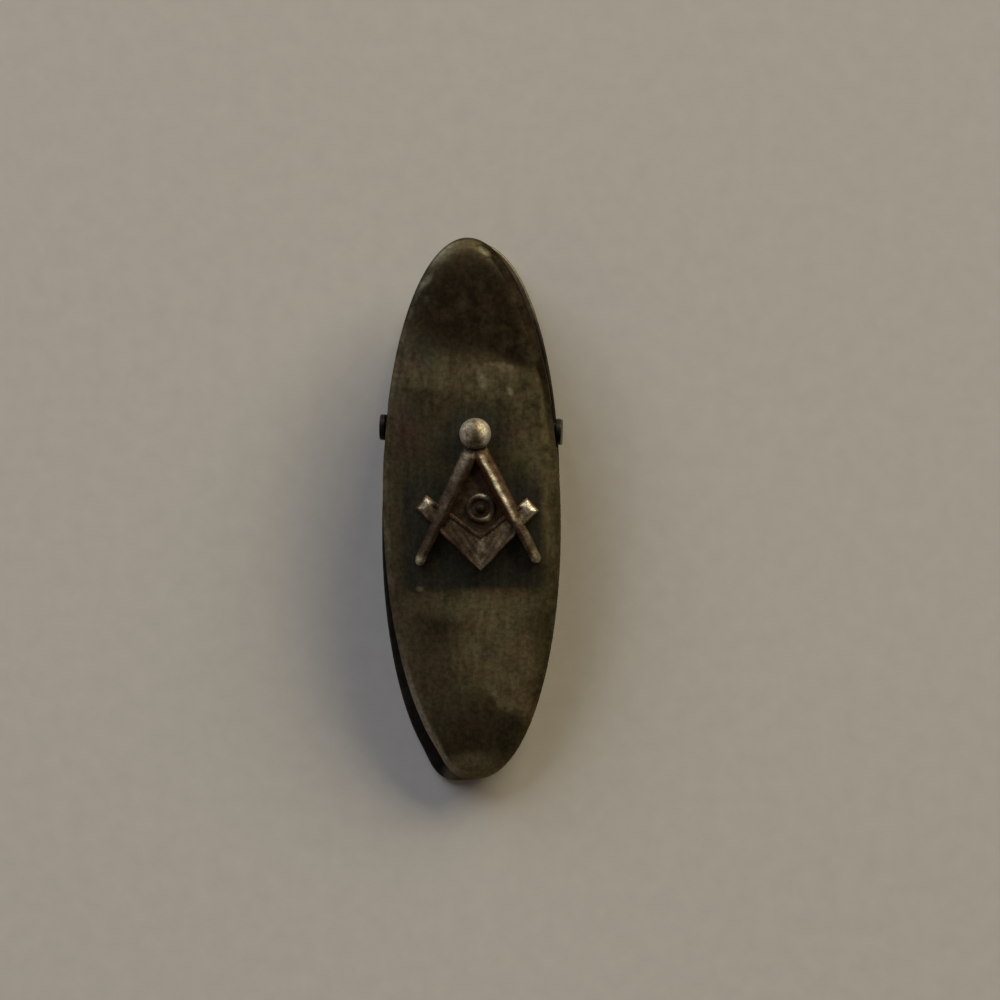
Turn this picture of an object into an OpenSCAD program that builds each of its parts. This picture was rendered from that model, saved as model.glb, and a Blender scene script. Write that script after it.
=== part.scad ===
// A hinged tie clip, lying on its back lever with its emblem up.
// X runs across the clip, +Y towards the thumb end, +Z up. The origin is on the table under the middle.

/* [Front plate] */
// Length of the oval front plate
plate_l = 38; // [36:0.1:42]
// Width of the oval front plate
plate_w = 12.4; // [11.5:0.1:12.6]
// How far the plate sits askew on its hinge, in degrees
plate_skew = 1.05; // [0:0.05:1.5]
// How much fuller than an ellipse both plates are at the left of the jaw tip
jaw_full = 0.3; // [0:0.05:0.35]
// Radius of the plate's bow along its length
bow_r = 82; // [75:1:120]
// Radius of the plate's crown across its width
crown_r = 24.4; // [20:0.2:40]
// Thickness of the sheet metal
wall = 0.5; // [0.4:0.05:0.6]
// Width of the bevel round the plate's edge
bevel_w = 0.6; // [0.5:0.05:0.8]
// Drop of the bevel below the plate's face
bevel_drop = 0.45; // [0.3:0.05:0.6]
// Depth of the rim that is turned back below the bevel
rim_depth = 1.05; // [0.9:0.05:1.2]
// Room between the rim and the lever at the thumb end
thumb_gap = 3.2; // [2.8:0.1:3.6]

/* [Back lever] */
// Length of the oval lever
lever_l = 37.9; // [36:0.1:40]
// Middle of the lever, along the clip
lever_y = -0.15; // [-0.3:0.05:0.3]
// Width of the oval lever
lever_w = 12.5; // [11.5:0.1:12.6]
// Thickness of the lever's sheet metal
lever_t = 0.5; // [0.4:0.05:0.6]
// How far the lever sits askew on its hinge, in degrees
lever_skew = 1.5; // [0:0.05:2]
// Rise of the grip ribs at the lever's jaw
rib_rise = 0.2; // [0.1:0.05:0.25]

/* [Hinge] */
// Place of the hinge along the clip
hinge_y = 5.6; // [5:0.1:6.5]
// Height of the hinge above the table
hinge_z = 3.75; // [3.6:0.05:3.85]
// Radius of the hinge pin
pin_r = 0.45; // [0.35:0.05:0.5]
// Width of an ear
ear_w = 1.8; // [1.6:0.1:2]
// Distance from the clip's middle to an ear's outer face
ear_out = 6.35; // [6.3:0.05:6.5]
// Thickness of an ear
ear_t = 0.4; // [0.3:0.05:0.45]

/* [Emblem] */
// Emblem's middle, across the plate
emblem_x = 0.44; // [-0.5:0.02:0.5]
// Emblem's middle, along the plate
emblem_y = 0.54; // [-0.6:0.02:0.6]
// Radius of the ball at the compasses' head
ball_r = 1.1; // [0.9:0.05:1.2]
// Height of the ball's centre above the emblem's middle, along the plate
ball_y = 4.95; // [4.8:0.05:5.2]
// Distance between the compasses' feet
feet_span = 8.1; // [7.6:0.1:8.6]
// Distance of the feet below the emblem's middle, along the plate
feet_y = 3.8; // [3.5:0.1:4]
// Middle of the square, right of the compasses' middle
square_x = 0.2; // [0:0.05:0.3]
// Width of a leg at its top
leg_w = 1.15; // [1:0.05:1.3]
// Width of a leg's lower point
point_w = 0.7; // [0.6:0.05:0.8]
// Height of the legs' ridge above the plate
ridge_h = 0.95; // [0.8:0.05:1.1]
// Height of the square above the plate
square_h = 0.6; // [0.5:0.05:0.7]
// Length of the square's left arm along its middle
left_arm_l = 5.5; // [5:0.1:5.6]
// Length of the square's right arm along its middle
right_arm_l = 5; // [4.8:0.1:5.6]
// Width of the arms at their ends
arm_end_w = 1.24; // [1.1:0.02:1.4]
// Rise of the arms above level, in degrees
arm_rise = 42; // [41:0.5:46]

/* [Spring] */
// Radius of the spring's wire
wire_r = 0.2; // [0.15:0.05:0.25]
// Radius of the coil to the middle of the wire
coil_r = 0.85; // [0.8:0.05:1]
// Number of whole turns in the coil
coil_turns = 5; // [3:1:6]

/* [Hidden] */
$fn = 64;

around = 96;
full_from = 240;
full_to = 272;
eps = 0.01;
jaw_gap = 0.05;
seat_gap = 0.05;
pin_fit = 0.05;
pin_seat = 0.02;
far = 60;

rim_drop = bevel_drop + rim_depth;
lug_out = 5.7;
lug_t = 0.4;
lug_r = pin_r + 0.5;
notch_in = 5.8;
notch_half = ear_w / 2 + 0.3;

peg_r = 0.4;
peg_fit = 0.05;
peg_head_r = 0.65;
peg_head_t = 0.25;
peg_gap = 0.08;
peg_rise = 0.3;
pegs = [[0, 3.6], [square_x, -3.4]];

web_h = 0.3;
groove = 0.15;
groove_margin = 0.3;
corner_in = -2.05;
corner_out = -4.7;
leg_top = 4.35;
leg_fall = 3;
crossing = 6;
point_top_w = 0.8;
neck_r = 0.75;
ring_r = 0.85;
ring_wire = 0.23;
ring_at = [0.27, -0.25];
bead_r = 0.36;

rib_r = 0.5;
rib_ys = [-15.4, -14.2, -13];
rib_half = 1.6;

// Height of the crowned and bowed face over the point (x, y): a circle of bow_r swung round a lengthwise
// axis that lies crown_r below the top. skin moves the face out along its own normal.
function face_z(x, y, skin = 0) =
    sqrt(pow(crown_r - bow_r + sqrt(pow(bow_r + skin, 2) - y * y), 2) - x * x) - crown_r;

function unit(v) = v / norm(v);

// The plates are blunter than an ellipse between these angles, by up to jaw_full.
function fuller(t) =
    t > full_from && t < full_to ? jaw_full * pow(sin(180 * (t - full_from) / (full_to - full_from)), 2) : 0;

// Point of such an oval at angle t, moved inwards by inset along the ellipse's normal.
function oval_at(t, half_w, half_l, inset = 0) =
    [half_w * cos(t), half_l * sin(t)] + (fuller(t) - inset) * unit([half_l * cos(t), half_w * sin(t)]);

function plate_at(t, inset = 0) = oval_at(t, plate_w / 2, plate_l / 2, inset);

// Ring of points on the face, a share of the way out from the middle to the inset oval.
function face_ring(share, inset, skin) = [
    for (k = [0 : around - 1])
        let (p = share * plate_at(360 * k / around, inset))
        [p.x, p.y, face_z(p.x, p.y, skin)]
];

// Ring of points at the plate's edge, a drop below the face's height at the edge.
function edge_ring(inset, drop) = [
    for (k = [0 : around - 1])
        let (e = plate_at(360 * k / around), p = plate_at(360 * k / around, inset))
        [p.x, p.y, face_z(e.x, e.y) - drop]
];

// Faces of a closed skin through rings of n points, capped by one point at each end.
function ring_faces(rings, n) = concat(
    [for (k = [0 : n - 1]) [rings * n, (k + 1) % n, k]],
    [for (r = [0 : rings - 2], k = [0 : n - 1], half = [0, 1])
        let (a = r * n + k, b = r * n + (k + 1) % n)
        half == 0 ? [a, b, a + n] : [b, b + n, a + n]],
    [for (k = [0 : n - 1]) [rings * n + 1, (rings - 1) * n + k, (rings - 1) * n + (k + 1) % n]]
);

// The plate is tilted so that its jaw tip meets the lever and its thumb end stands thumb_gap clear, and it is
// turned by plate_skew about the middle of the hinge.
pitch = asin((thumb_gap - jaw_gap) / plate_l);
tip_z = face_z(0, plate_l / 2);
plate_z = lever_t + jaw_gap + plate_l / 2 * sin(pitch) - (tip_z - rim_drop) * cos(pitch);
plate_y = (tip_z - bevel_drop) * sin(pitch);

// Turned about the upright line through the middle of the hinge.
module askew(angle)
    translate([0, hinge_y, 0])
        rotate([0, 0, angle])
            translate([0, -hinge_y, 0])
                children();

module on_plate()
    askew(plate_skew)
        translate([0, plate_y, plate_z])
            rotate([pitch, 0, 0])
                children();

module on_emblem()
    on_plate()
        translate([emblem_x, emblem_y, 0])
            children();

// Everything under the face, with the face moved out by skin.
module under_face(skin)
    translate([0, 0, -crown_r])
        rotate([90, 0, 0])
            rotate_extrude($fn = 256)
                intersection() {
                    translate([crown_r - bow_r, 0])
                        circle(r = bow_r + skin, $fn = 512);
                    translate([0, -plate_l / 2])
                        square([crown_r + skin + 1, plate_l]);
                }

// The same, seen from the emblem's own middle.
module under_emblem(skin)
    translate([-emblem_x, -emblem_y, 0])
        under_face(skin);

module along_x(from, to)
    translate([from, 0, 0])
        rotate([90, 0, 90])
            linear_extrude(to - from)
                children();

// A tab with a round end at the hinge, as deep as reach from the hinge's middle.
module tab(half_w, reach) {
    circle(half_w);
    translate([-half_w, min(0, reach)])
        square([2 * half_w, abs(reach)]);
}

module dish() {
    rings = concat(
        [for (i = [1 : 6]) face_ring(i / 6, bevel_w, 0)],
        [
            edge_ring(0.08, bevel_drop * 0.75),
            edge_ring(0, bevel_drop),
            edge_ring(0, rim_drop),
            edge_ring(wall, rim_drop)
        ],
        [for (i = [4 : -1 : 1]) face_ring(i / 4, wall, -wall)]
    );
    polyhedron(
        points = concat([for (ring = rings) each ring], [[0, 0, 0], [0, 0, -wall]]),
        faces = ring_faces(len(rings), around),
        convexity = 6
    );
}

module lug(side) {
    lug_mid = lug_out - lug_t / 2;
    hang = face_z(lug_mid, hinge_y, -0.8 * wall);
    sheet_z = plate_z + hang * cos(pitch) + (hinge_y - plate_y) * sin(pitch);
    translate([0, hinge_y, hinge_z])
        mirror([side < 0 ? 1 : 0, 0, 0])
            rotate([pitch, 0, 0])
                along_x(lug_out - lug_t, lug_out)
                    tab(lug_r, sheet_z - hinge_z);
}

module notch(side)
    translate([side > 0 ? notch_in : -notch_in - 1, hinge_y - notch_half, hinge_z - 2])
        cube([1, 2 * notch_half, 2 + notch_half]);

module hinge_bore(r)
    translate([0, hinge_y, hinge_z])
        rotate([0, 90, 0])
            cylinder(h = far, r = r, center = true);

module front_plate()
    color("#5a5140")
        difference() {
            union() {
                on_plate() dish();
                lug(1);
                lug(-1);
            }
            notch(1);
            notch(-1);
            hinge_bore(pin_r + pin_fit);
            on_emblem()
                for (at = pegs)
                    translate([at.x, at.y, -2])
                        cylinder(h = 4, r = peg_r + peg_fit);
        }

// Outline of one leg, from its top at the neck down to its round foot; the leg lies along -Y.
module leg_outline() {
    length = norm([feet_span / 2, leg_top + feet_y]);
    polygon([
        [-leg_w / 2, 0],
        [leg_w / 2, 0],
        [leg_w / 2 - 0.05, -crossing],
        [point_top_w / 2, -crossing],
        [point_w / 2, -length],
        [-point_w / 2, -length],
        [-point_top_w / 2, -crossing],
        [0.05 - leg_w / 2, -crossing]
    ]);
    translate([0, -length])
        circle(point_w / 2);
}

// A long bar along -Y with a ridge like a roof.
module roof() {
    half = leg_w / 2 + 0.1;
    eave = ridge_h - 0.85 * half;
    rotate([90, 0, 0])
        translate([0, 0, -1])
            linear_extrude(12)
                polygon([[-half, -2], [half, -2], [half, eave], [0, ridge_h], [-half, eave]]);
}

module leg(side)
    translate([0, leg_top, face_z(emblem_x, emblem_y + leg_top)])
        rotate([0, 0, side * atan(feet_span / 2 / (leg_top + feet_y))])
            intersection() {
                translate([0, 0, -2])
                    linear_extrude(4)
                        leg_outline();
                rotate([leg_fall, 0, 0])
                    roof();
            }

// Outline of one arm of the square, from the corner out, drawn in by margin.
function arm_outline(side, length, margin) =
    let (
        along = [side * cos(arm_rise), sin(arm_rise)],
        across = [-side * sin(arm_rise), cos(arm_rise)],
        slack = margin / cos(arm_rise),
        tip = [0, (corner_in + corner_out) / 2] + (length - margin) * along,
        half = arm_end_w / 2 - margin
    )
    [[0, corner_in - slack], tip + half * across, tip - half * across, [0, corner_out + slack]];

// Outline of the square, both arms, drawn in by margin.
module square_outline(margin = 0)
    translate([square_x, 0]) {
        right = arm_outline(1, right_arm_l, margin);
        left = arm_outline(-1, left_arm_l, margin);
        polygon([right[0], right[1], right[2], right[3], left[2], left[1]]);
    }

module slab(skin)
    intersection() {
        translate([0, 0, -3])
            linear_extrude(6)
                children();
        under_emblem(skin);
    }

module ornament() {
    leg(1);
    leg(-1);
    translate([0, ball_y, face_z(emblem_x, emblem_y + ball_y) + 0.25])
        sphere(ball_r);
    translate([0, leg_top - 0.15, -1])
        cylinder(h = 1.55, r = neck_r);
    difference() {
        slab(square_h) square_outline();
        difference() {
            translate([0, 0, -3])
                linear_extrude(6)
                    square_outline(groove_margin);
            under_emblem(square_h - groove);
        }
    }
    slab(web_h)
        polygon([[0, leg_top - 1], [2.9, -1.2], [square_x, corner_in - 0.5], [-2.9, -1.2]]);
    translate([ring_at.x, ring_at.y, web_h - 0.05]) {
        rotate_extrude()
            translate([ring_r, 0])
                circle(ring_wire);
        sphere(bead_r);
    }
}

// A rivet peg through the plate, with its flattened head under the sheet.
module peg(at)
    translate([at.x, at.y, face_z(emblem_x + at.x, emblem_y + at.y, -wall) - peg_gap - peg_head_t]) {
        cylinder(h = peg_head_t, r = peg_head_r);
        cylinder(h = peg_head_t + wall + peg_rise, r = peg_r);
    }

module emblem()
    color("#b79f86")
        on_emblem() {
            difference() {
                ornament();
                under_emblem(seat_gap);
            }
            for (at = pegs)
                peg(at);
        }

module lever_blank() {
    translate([0, lever_y])
        polygon([for (k = [0 : around - 1]) oval_at(360 * k / around, lever_w / 2, lever_l / 2)]);
    translate([-ear_out, hinge_y - ear_w / 2])
        square([2 * ear_out, ear_w]);
}

module ear(side)
    translate([0, hinge_y, hinge_z])
        mirror([side < 0 ? 1 : 0, 0, 0])
            along_x(ear_out - ear_t, ear_out)
                tab(ear_w / 2, -hinge_z);

module rib(y)
    translate([0, y, lever_t + rib_rise - rib_r])
        rotate([0, 90, 0])
            cylinder(h = 2 * rib_half, r = rib_r, center = true);

module lever()
    color("#2c2823")
        difference() {
            askew(-lever_skew) {
                linear_extrude(lever_t)
                    lever_blank();
                ear(1);
                ear(-1);
                intersection() {
                    for (y = rib_ys)
                        rib(y);
                    translate([-lever_w / 2, lever_y - lever_l / 2, eps])
                        cube([lever_w, lever_l, 2]);
                }
            }
            hinge_bore(pin_r + pin_seat);
        }

module hinge_pin()
    color("#6f6a62")
        translate([0, hinge_y, hinge_z])
            rotate([0, 90, 0])
                cylinder(h = 2 * ear_out + 0.06, r = pin_r, center = true);

// Points of the spring, in the hinge's own frame: the leg on the lever, the coil, and the leg under the plate.
function leg_touch(end, side) = atan2(end[1], end[0]) + side * acos(coil_r / norm(end));

function spring_path() =
    let (
        step = 22.5,
        turn_l = 2 * wire_r + 0.06,
        low = [7, lever_t + wire_r + 0.1 - hinge_z],
        high_y = 6,
        y_there = hinge_y + high_y - plate_y,
        high = [high_y, plate_z + y_there * sin(pitch) + face_z(0, y_there, -wall) - wire_r - 0.2 - hinge_z],
        from = leg_touch(low, -1),
        to = leg_touch(high, 1) - 360 * (coil_turns + 1),
        steps = round((from - to) / step),
        length = turn_l * (from - to) / 360
    )
    concat(
        [[-length / 2, low[0], low[1]]],
        [for (i = [0 : steps])
            let (a = from + (to - from) * i / steps)
            [length * (i / steps - 0.5), coil_r * cos(a), coil_r * sin(a)]],
        [[length / 2, high[0], high[1]]]
    );

// Rings of n points round each point of a path that stays near planes of constant X.
function wire_rings(path, r, n) = [
    for (i = [0 : len(path) - 1])
        let (
            ahead = unit(path[min(i + 1, len(path) - 1)] - path[max(i - 1, 0)]),
            side = unit(cross(ahead, [1, 0, 0])),
            up = cross(side, ahead)
        )
        [for (k = [0 : n - 1]) path[i] + r * (cos(360 * k / n) * up + sin(360 * k / n) * side)]
];

module spring() {
    sides = 8;
    path = spring_path();
    rings = wire_rings(path, wire_r, sides);
    color("#7d7a74")
        translate([0, hinge_y, hinge_z])
            polyhedron(
                points = concat([for (ring = rings) each ring], [path[0], path[len(path) - 1]]),
                faces = ring_faces(len(rings), sides),
                convexity = 10
            );
}

front_plate();
emblem();
lever();
hinge_pin();
spring();
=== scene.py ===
# %% [markdown]
# # A tarnished tie clip with a square and compasses
#
# The clip lies on its back lever on a pale table. A domed oval front plate is hinged to a flat oval lever
# between two small ears, and a cast ornament is riveted to its face. The construction comes from the CAD
# model, which is loaded here as a fixed frame. Everything that Blender makes sits on that frame.

import bpy
import numpy as np
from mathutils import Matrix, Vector


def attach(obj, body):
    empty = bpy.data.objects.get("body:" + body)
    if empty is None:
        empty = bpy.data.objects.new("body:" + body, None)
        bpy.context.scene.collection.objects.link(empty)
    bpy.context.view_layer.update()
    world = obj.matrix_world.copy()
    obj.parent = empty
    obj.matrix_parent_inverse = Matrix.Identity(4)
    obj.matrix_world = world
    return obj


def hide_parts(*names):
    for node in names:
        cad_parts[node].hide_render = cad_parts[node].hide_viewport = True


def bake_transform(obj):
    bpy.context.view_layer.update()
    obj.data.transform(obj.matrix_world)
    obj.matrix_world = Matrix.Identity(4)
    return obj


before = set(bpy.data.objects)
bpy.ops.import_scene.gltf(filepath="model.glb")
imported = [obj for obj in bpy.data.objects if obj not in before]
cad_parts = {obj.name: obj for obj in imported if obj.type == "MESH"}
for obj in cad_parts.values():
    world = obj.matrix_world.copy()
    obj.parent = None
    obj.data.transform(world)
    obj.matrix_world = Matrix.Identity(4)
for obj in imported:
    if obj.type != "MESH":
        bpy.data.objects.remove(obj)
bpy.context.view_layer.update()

# %% [markdown]
# ## The camera
#
# The clip is seen from straight above, from a little way to its right. A long lens keeps both plates at
# nearly the same scale, as a camera on a copy stand does. The picture is about 70 mm wide, so the distance
# follows from the lens: distance = picture width x focal length / sensor width.

# %% Place the camera over the clip
MM = 0.001
PICTURE_MM, FOCAL_MM, SENSOR_MM = 69.9, 200.0, 36.0
CAMERA_TO_RIGHT = np.radians(2.5)
LOOK_AT = np.array([2.06, 0.66, 3.75])


def put(name, data):
    """A new object in the scene, from a mesh, a light or a camera."""
    made = bpy.data.objects.new(name, data)
    bpy.context.scene.collection.objects.link(made)
    return made


distance = PICTURE_MM * FOCAL_MM / SENSOR_MM
back = np.array([np.sin(CAMERA_TO_RIGHT), 0.0, np.cos(CAMERA_TO_RIGHT)])
camera_data = bpy.data.cameras.new("camera")
camera_data.lens = FOCAL_MM
camera_data.sensor_width = SENSOR_MM
camera_data.clip_start = 0.01
camera_data.clip_end = 10.0
camera = put("camera", camera_data)
camera.location = Vector((LOOK_AT + back * distance) * MM)
camera.rotation_euler = (0.0, CAMERA_TO_RIGHT, 0.0)
bpy.context.scene.camera = camera
print("camera", round(distance), "mm away")

# %% [markdown]
# ## From a grid of points to a solid skin
#
# Each piece is a closed skin over a grid of points that numpy works out in one go. The columns go round it
# and the rows run along it, or from its middle to its rim. Its faces could be typed as a list, but a grid
# knows its neighbours, so a shifted copy of the point numbers gives them all.

# %% Skins over grids of points
def turn_outwards(points, quads, fans):
    """Turns the faces round if they point inwards, which makes the volume negative: the sum of
    a . (b x c) / 6 over all the triangles."""
    corners = np.concatenate([quads[:, [0, 1, 2]], quads[:, [0, 2, 3]], fans])
    a, b, c = (points[corners[:, k]] for k in range(3))
    if np.einsum("ij,ij->i", a, np.cross(b, c)).sum() < 0:
        return quads[:, ::-1], fans[:, ::-1]
    return quads, fans


def capped(rows):
    """All the points or values of the rows in one list, with the means of the first and last row added."""
    return np.concatenate([rows.reshape(-1, *rows.shape[2:]), rows[:1].mean(1), rows[-1:].mean(1)])


def skin(grid, **fields):
    """Closed skin over grid, rows x columns x 3 in mm. The columns close on themselves, and a point in the
    middle of the first and of the last row closes each end. fields are values for each point of the grid,
    such as how worn the metal is there."""
    rows, columns = grid.shape[:2]
    here = np.arange(rows * columns).reshape(rows, columns)
    beside = np.roll(here, -1, axis=1)
    quads = np.stack([here[:-1], beside[:-1], beside[1:], here[1:]], axis=-1).reshape(-1, 4)
    ends = rows * columns + np.repeat([0, 1], columns)
    fans = np.stack([ends, np.append(beside[0], here[-1]), np.append(here[0], beside[-1])], axis=-1)
    quads, fans = turn_outwards(capped(grid), quads, fans)
    values = {name: capped(np.broadcast_to(value, (rows, columns))) for name, value in fields.items()}
    return {"points": capped(grid), "quads": quads, "fans": fans, "fields": values}


def moved(part, place):
    """The same skin with its points put through place, a function from points to points."""
    return {**part, "points": place(part["points"])}

# %% [markdown]
# A piece may be several skins that grow into each other, such as a plate and its lugs. They could be
# separate objects, but one object keeps them together when the clip opens. Values that belong to a place on
# the piece travel with its points as attributes, for the material to read.

# %% One Blender object from several skins
def piece(name, parts, material):
    """One Blender object from a list of skins, with smooth faces, its fields as point attributes, and its
    material in a material slot."""
    starts = np.cumsum([0] + [len(p["points"]) for p in parts])
    points = np.concatenate([p["points"] for p in parts]) * MM
    quads, fans = (np.concatenate([p[k] + s for p, s in zip(parts, starts)]) for k in ("quads", "fans"))
    mesh = bpy.data.meshes.new(name)
    mesh.from_pydata(points.tolist(), [], quads.tolist() + fans.tolist())
    mesh.polygons.foreach_set("use_smooth", np.ones(len(mesh.polygons), bool))
    for field in parts[0]["fields"]:
        values = np.concatenate([p["fields"][field] for p in parts]).astype(np.float32)
        mesh.attributes.new(field, "FLOAT", "POINT").data.foreach_set("value", values)
    mesh.materials.append(material)
    made = put(name, mesh)
    print(name, "has", len(parts), "skins and", 2 * len(quads) + len(fans), "triangles")
    return made

# %% [markdown]
# ## Sizes that both plates share
#
# These are the sizes of the CAD source, in millimetres. The front plate's face is part of a barrel, bowed
# along the clip and crowned across it. Its jaw end rests on the lever and its thumb end stands clear, so the
# plate is pitched, and it has worked a little askew on its hinge.

# %% Sizes and the plate's height
PLATE_L, PLATE_W, PLATE_SKEW = 38.0, 12.4, np.radians(1.05)
BOW_R, CROWN_R, WALL = 82.0, 24.4, 0.5
BEVEL_W, BEVEL_DROP, RIM_DROP = 0.6, 0.45, 1.5
THUMB_GAP, JAW_GAP = 3.2, 0.05
LEVER_L, LEVER_W, LEVER_T, LEVER_Y, LEVER_SKEW = 37.9, 12.5, 0.5, -0.15, np.radians(1.5)
HINGE_Y, HINGE_Z, PIN_R = 5.6, 3.75, 0.45
JAW_FULL, FULL_FROM, FULL_TO = 0.3, np.radians(240), np.radians(272)


def face_z(x, y, out=0.0):
    """Height of the face over (x, y), moved out along its own normal: the bow is a circle of radius BOW_R
    along y, swung round a lengthwise axis CROWN_R below the top."""
    reach = CROWN_R - BOW_R + np.sqrt((BOW_R + out) ** 2 - y ** 2)
    return np.sqrt(reach ** 2 - x ** 2) - CROWN_R


PITCH = np.arcsin((THUMB_GAP - JAW_GAP) / PLATE_L)
TIP_Z = face_z(0.0, PLATE_L / 2)
PLATE_Z = LEVER_T + JAW_GAP + PLATE_L / 2 * np.sin(PITCH) - (TIP_Z - RIM_DROP) * np.cos(PITCH)
PLATE_Y = (TIP_Z - BEVEL_DROP) * np.sin(PITCH)
print(f"pitch {np.degrees(PITCH):.2f} degrees, {PLATE_Z:.2f} mm up")

# %% [markdown]
# Each plate is shaped round its own middle, where its formulas are simplest, and then put in its place. Both
# have an ellipse as their outline, a little blunter at the left of the jaw tip.

# %% Places on the clip, and the oval outline
def rotated(u, v, angle):
    """Turns (u, v) by angle: (u cos a - v sin a, u sin a + v cos a)."""
    c, s = np.cos(angle), np.sin(angle)
    return c * u - s * v, s * u + c * v


def askew(points, angle):
    """Turns points by angle about the upright line through the middle of the hinge."""
    x, y = rotated(points[:, 0], points[:, 1] - HINGE_Y, angle)
    return np.stack([x, y + HINGE_Y, points[:, 2]], axis=1)


def on_plate(points):
    """From the plate's own frame to the clip's: pitched, lifted onto the lever, and turned askew."""
    y, z = rotated(points[:, 1], points[:, 2], PITCH)
    return askew(np.stack([points[:, 0], y + PLATE_Y, z + PLATE_Z], axis=1), PLATE_SKEW)


def on_lever(points):
    """From the lever's own frame to the clip's: turned askew the other way."""
    return askew(points, -LEVER_SKEW)


def unit(vectors):
    """The same directions with length 1."""
    return vectors / np.linalg.norm(vectors, axis=-1, keepdims=True)


def oval(angle, half_w, half_l, inset=0.0):
    """Points of an ellipse, moved inwards by inset along its normal (half_l cos t, half_w sin t). Between two
    angles at the left of the jaw tip it is blunter, by JAW_FULL times the square of a half sine wave."""
    out = unit(np.stack([half_l * np.cos(angle), half_w * np.sin(angle)], axis=-1))
    edge = np.stack([half_w * np.cos(angle), half_l * np.sin(angle)], axis=-1)
    share = np.clip((angle - FULL_FROM) / (FULL_TO - FULL_FROM), 0, 1)
    return edge + (JAW_FULL * np.sin(np.pi * share) ** 2 - inset)[..., None] * out

# %% [markdown]
# ## Materials: what a node setup needs
#
# The metal is old plated brass under decades of tarnish. Its look comes from slow patches of colour, fine
# mottling, and a roughness that varies with both. Some patches are where hands and cloth have or haven't
# rubbed, and some are painted light, painted shade and painted reflections. A painted image could hold the
# patches, but formulas stored on the mesh as attributes are easy to move and to change.
# The mottling is noise on Object coordinates, which has no seam.

# %% Helpers for node materials
def new_material(name):
    """An empty node material and its node tree."""
    material = bpy.data.materials.new(name)
    material.use_nodes = True
    print("material", name)
    return material, material.node_tree


def feed(tree, socket, value):
    """Gives an input socket its value: a link from an output, or a constant. A colour is three numbers."""
    if isinstance(value, bpy.types.NodeSocket):
        tree.links.new(value, socket)
    else:
        socket.default_value = (*value, 1) if socket.type == "RGBA" else value


def add(tree, kind, **inputs):
    """A new node of one kind, with some of its inputs fed."""
    node = tree.nodes.new("ShaderNode" + kind)
    for name, value in inputs.items():
        feed(tree, node.inputs[name], value)
    return node


def noise(tree, scale, detail, roughness, stretch=(1, 1, 1)):
    """Noise on Object coordinates. scale is in spots per metre, and stretch draws the spots out."""
    place = add(tree, "TexCoord").outputs["Object"]
    place = add(tree, "Mapping", Vector=place, Scale=stretch).outputs["Vector"]
    return add(tree, "TexNoise", Vector=place, Scale=scale, Detail=detail, Roughness=roughness).outputs["Fac"]


def attribute(tree, name):
    """The value of a point attribute."""
    node = add(tree, "Attribute")
    node.attribute_name = name
    return node.outputs["Fac"]


def ramp(tree, value, stops):
    """A colour ramp through stops, each a position and a colour or a grey."""
    node = add(tree, "ValToRGB", Fac=value)
    elements = node.color_ramp.elements
    while len(elements) < len(stops):
        elements.new(0.5)
    for element, (position, colour) in zip(elements, stops):
        element.position = position
        element.color = (*np.broadcast_to(colour, 3), 1)
    return node.outputs["Color"]


def mix(tree, amount, one, two, blend="MIX"):
    """Mixes two colours, each a socket or three numbers, by an amount."""
    node = add(tree, "Mix")
    node.data_type = "RGBA"
    node.blend_type = blend
    feed(tree, next(s for s in node.inputs if s.name == "Factor" and s.type == "VALUE"), amount)
    for socket, colour in zip((s for s in node.inputs if s.type == "RGBA"), (one, two)):
        feed(tree, socket, colour)
    return next(s for s in node.outputs if s.type == "RGBA")


def shade(tree, colour, value, low, high):
    """Multiplies a colour by low where value is under 0.35 and by high where it is over 0.65."""
    return mix(tree, 1.0, colour, ramp(tree, value, [(0.35, low), (0.65, high)]), "MULTIPLY")


def maths(tree, operation, *values):
    """One arithmetic step on sockets or numbers."""
    node = add(tree, "Math")
    node.operation = operation
    for socket, value in zip(node.inputs, values):
        feed(tree, socket, value)
    return node.outputs["Value"]


def coat(tree, colour, metal, rough, bumps, strength, height, tint=(1, 1, 1)):
    """Feeds the shader its colour, share of metal, roughness, tint and bumps, with their height in metres."""
    values = {"Base Color": colour, "Metallic": metal, "Roughness": rough, "Specular Tint": tint}
    values["Normal"] = add(tree, "Bump", Strength=strength, Distance=height, Height=bumps).outputs["Normal"]
    for name, value in values.items():
        feed(tree, tree.nodes["Principled BSDF"].inputs[name], value)
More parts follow.
